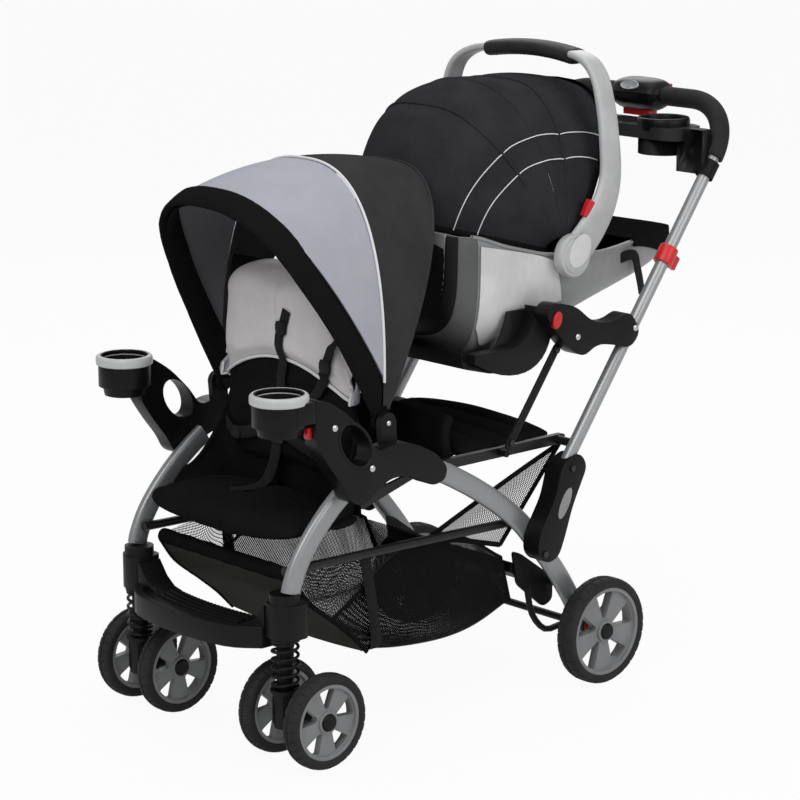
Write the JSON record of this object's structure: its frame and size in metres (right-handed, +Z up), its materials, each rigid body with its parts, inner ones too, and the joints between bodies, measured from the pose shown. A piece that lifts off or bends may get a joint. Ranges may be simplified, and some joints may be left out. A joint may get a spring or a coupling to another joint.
{
  "type": "tandem stroller",
  "caption": "Tandem stroller with a canopied front seat, rear bench with docked infant carrier, basket, sprung twin castors, cup holders and an arched push handle.",
  "frame": {"origin": "on the floor, under the middle of the overall box", "axes": "+Z up, -Y to the front, +X to the side nearer the picture's camera"},
  "size_m": [0.552, 1.204, 1.164],
  "materials": {
    "legs": "satin silver coat",
    "push_tube": "satin",
    "black_plastic": "fine grain",
    "grey_plastic": "satin",
    "red_plastic": "gloss",
    "black_metal": "satin",
    "steel": "bright",
    "black_cloth": "woven",
    "grey_cloth": "woven",
    "foam": "matt foam",
    "wheel": "rubber tyre on a grey rim"
  },
  "bodies": {
    "chassis": {"front_legs": "legs", "rear_legs": "legs", "armrests": "black_plastic", "cup_holders": "black_plastic", "castor_housings": "black_plastic", "footrest": "black_plastic", "frame_rails": "black_metal", "front_seat_pad": "black_cloth", "rear_bench_pad": "black_cloth", "basket": "black_cloth", "standing_platform": "black_plastic", "platform_struts": "black_metal", "rear_axle": "steel", "canopy_hubs": "black_plastic", "canopy_rear_panel": "black_cloth", "push_tube": "push_tube", "handle_foam": "foam", "handle_console": "black_plastic", "parent_tray": "black_plastic", "tube_clips": "red_plastic", "seat_brackets": "black_plastic", "support_bars": "black_metal", "carrier_cradle": "black_plastic", "hinge_brackets": "black_plastic"},
    "backrest": {"front_back_pad": "black_cloth", "harness": "black_cloth"},
    "buckle_button": {"buckle_button": "red_plastic"},
    "canopy_front": {"canopy_front_bow": "black_plastic", "canopy_front_panel": "grey_cloth"},
    "carrier": {"carrier_shell": "grey_plastic", "carrier_pad": "black_cloth", "carrier_hood_rear": "black_cloth"},
    "carrier_hood": {"carrier_hood_bow": "black_cloth", "carrier_hood_front": "black_cloth"},
    "carrier_handle": {"carrier_handle": "grey_plastic"},
    "fold_trigger": {"fold_trigger": "red_plastic"},
    "fold_lock": {"fold_lock": "red_plastic"},
    "bench_latch": {"bench_latch": "red_plastic"},
    "castor_right": {"castor_post_right": "black_plastic", "castor_spring_right": "steel"},
    "fork_right": {"castor_fork_right": "black_plastic", "castor_axle_right": "steel"},
    "front_wheel_right_outer": {"front_wheel_right_outer": "wheel"},
    "front_wheel_right_inner": {"front_wheel_right_inner": "wheel"},
    "rear_wheel_right": {"rear_wheel_right": "wheel"},
    "brake_lever_right": {"brake_lever_right": "red_plastic"},
    "cup_button_right": {"cup_button_right": "red_plastic"},
    "bracket_button_right": {"bracket_button_right": "red_plastic"},
    "carrier_button_right": {"carrier_button_right": "red_plastic"},
    "castor_left": {"castor_post_left": "black_plastic", "castor_spring_left": "steel"},
    "fork_left": {"castor_fork_left": "black_plastic", "castor_axle_left": "steel"},
    "front_wheel_left_outer": {"front_wheel_left_outer": "wheel"},
    "front_wheel_left_inner": {"front_wheel_left_inner": "wheel"},
    "rear_wheel_left": {"rear_wheel_left": "wheel"},
    "brake_lever_left": {"brake_lever_left": "red_plastic"},
    "cup_button_left": {"cup_button_left": "red_plastic"},
    "bracket_button_left": {"bracket_button_left": "red_plastic"},
    "carrier_button_left": {"carrier_button_left": "red_plastic"}
  },
  "joints": [
    {"name": "castor_right_swivel", "type": "hinge", "parent": "chassis", "child": "castor_right", "pos_m": [0.201, -0.52, 0.228], "axis": [0, 0, 1], "continuous": true},
    {"name": "castor_right_suspension", "type": "slide", "parent": "castor_right", "child": "fork_right", "axis": [0, 0, 1], "range_m": [0, 0.012], "stiffness_N_per_m": 20000, "springref_m": -0.012, "deforming": ["castor_spring_right"]},
    {"name": "front_wheel_right_outer_spin", "type": "hinge", "parent": "fork_right", "child": "front_wheel_right_outer", "pos_m": [0.26, -0.484, 0.084], "axis": [1, 0, 0], "continuous": true},
    {"name": "front_wheel_right_inner_spin", "type": "hinge", "parent": "fork_right", "child": "front_wheel_right_inner", "pos_m": [0.142, -0.484, 0.084], "axis": [1, 0, 0], "continuous": true},
    {"name": "rear_wheel_right_spin", "type": "hinge", "parent": "chassis", "child": "rear_wheel_right", "pos_m": [0.255, 0.196, 0.1], "axis": [1, 0, 0], "continuous": true},
    {"name": "brake_lever_right_press", "type": "hinge", "parent": "chassis", "child": "brake_lever_right", "pos_m": [0.23, 0.196, 0.1], "axis": [-1, 0, 0], "range_deg": [0, 25]},
    {"name": "cup_button_right_press", "type": "slide", "parent": "chassis", "child": "cup_button_right", "axis": [0, 1, 0], "range_m": [0, 0.004], "stiffness_N_per_m": 400, "springref_m": -0.004},
    {"name": "bracket_button_right_press", "type": "slide", "parent": "chassis", "child": "bracket_button_right", "axis": [-1, 0, 0], "range_m": [0, 0.004], "stiffness_N_per_m": 400, "springref_m": -0.004},
    {"name": "carrier_button_right_press", "type": "slide", "parent": "carrier_handle", "child": "carrier_button_right", "axis": [0, 0.8742, -0.4856], "range_m": [0, 0.004], "stiffness_N_per_m": 400, "springref_m": -0.004},
    {"name": "castor_left_swivel", "type": "hinge", "parent": "chassis", "child": "castor_left", "pos_m": [-0.201, -0.52, 0.228], "axis": [0, 0, 1], "continuous": true},
    {"name": "castor_left_suspension", "type": "slide", "parent": "castor_left", "child": "fork_left", "axis": [0, 0, 1], "range_m": [0, 0.012], "stiffness_N_per_m": 20000, "springref_m": -0.012, "deforming": ["castor_spring_left"]},
    {"name": "front_wheel_left_outer_spin", "type": "hinge", "parent": "fork_left", "child": "front_wheel_left_outer", "pos_m": [-0.26, -0.484, 0.084], "axis": [1, 0, 0], "continuous": true},
    {"name": "front_wheel_left_inner_spin", "type": "hinge", "parent": "fork_left", "child": "front_wheel_left_inner", "pos_m": [-0.142, -0.484, 0.084], "axis": [1, 0, 0], "continuous": true},
    {"name": "rear_wheel_left_spin", "type": "hinge", "parent": "chassis", "child": "rear_wheel_left", "pos_m": [-0.255, 0.196, 0.1], "axis": [1, 0, 0], "continuous": true},
    {"name": "brake_lever_left_press", "type": "hinge", "parent": "chassis", "child": "brake_lever_left", "pos_m": [-0.23, 0.196, 0.1], "axis": [-1, 0, 0], "range_deg": [0, 25]},
    {"name": "cup_button_left_press", "type": "slide", "parent": "chassis", "child": "cup_button_left", "axis": [0, 1, 0], "range_m": [0, 0.004], "stiffness_N_per_m": 400, "springref_m": -0.004},
    {"name": "bracket_button_left_press", "type": "slide", "parent": "chassis", "child": "bracket_button_left", "axis": [1, 0, 0], "range_m": [0, 0.004], "stiffness_N_per_m": 400, "springref_m": -0.004},
    {"name": "carrier_button_left_press", "type": "slide", "parent": "carrier_handle", "child": "carrier_button_left", "axis": [0, 0.8742, -0.4856], "range_m": [0, 0.004], "stiffness_N_per_m": 400, "springref_m": -0.004},
    {"name": "seat_recline", "type": "hinge", "parent": "chassis", "child": "backrest", "pos_m": [0, -0.33, 0.43], "axis": [-1, 0, 0], "range_deg": [0, 18]},
    {"name": "buckle_press", "type": "slide", "parent": "backrest", "child": "buckle_button", "axis": [0, 1, 0], "range_m": [0, 0.003], "stiffness_N_per_m": 400, "springref_m": -0.004},
    {"name": "canopy_fold", "type": "hinge", "parent": "chassis", "child": "canopy_front", "pos_m": [0, -0.314, 0.57], "axis": [-1, 0, 0], "range_deg": [0, 24], "deforming": ["canopy_front_panel"]},
    {"name": "carrier_lift", "type": "slide", "parent": "chassis", "child": "carrier", "axis": [0, 0.5, 0.866], "range_m": [0, 0.14]},
    {"name": "carrier_handle_turn", "type": "hinge", "parent": "carrier", "child": "carrier_handle", "pos_m": [0, 0.151, 0.801], "axis": [1, 0, 0], "range_deg": [-18, 48]},
    {"name": "hood_fold", "type": "hinge", "parent": "carrier", "child": "carrier_hood", "pos_m": [0, 0.151, 0.801], "axis": [1, 0, 0], "range_deg": [0, 38], "deforming": ["carrier_hood_front"]},
    {"name": "fold_trigger_squeeze", "type": "slide", "parent": "chassis", "child": "fold_trigger", "axis": [0, 0, 1], "range_m": [0, 0.006], "stiffness_N_per_m": 400, "springref_m": -0.004},
    {"name": "fold_lock_slide", "type": "slide", "parent": "chassis", "child": "fold_lock", "axis": [1, 0, 0], "range_m": [0, 0.012]},
    {"name": "bench_latch_slide", "type": "slide", "parent": "chassis", "child": "bench_latch", "axis": [1, 0, 0], "range_m": [0, 0.006]}
  ]
}
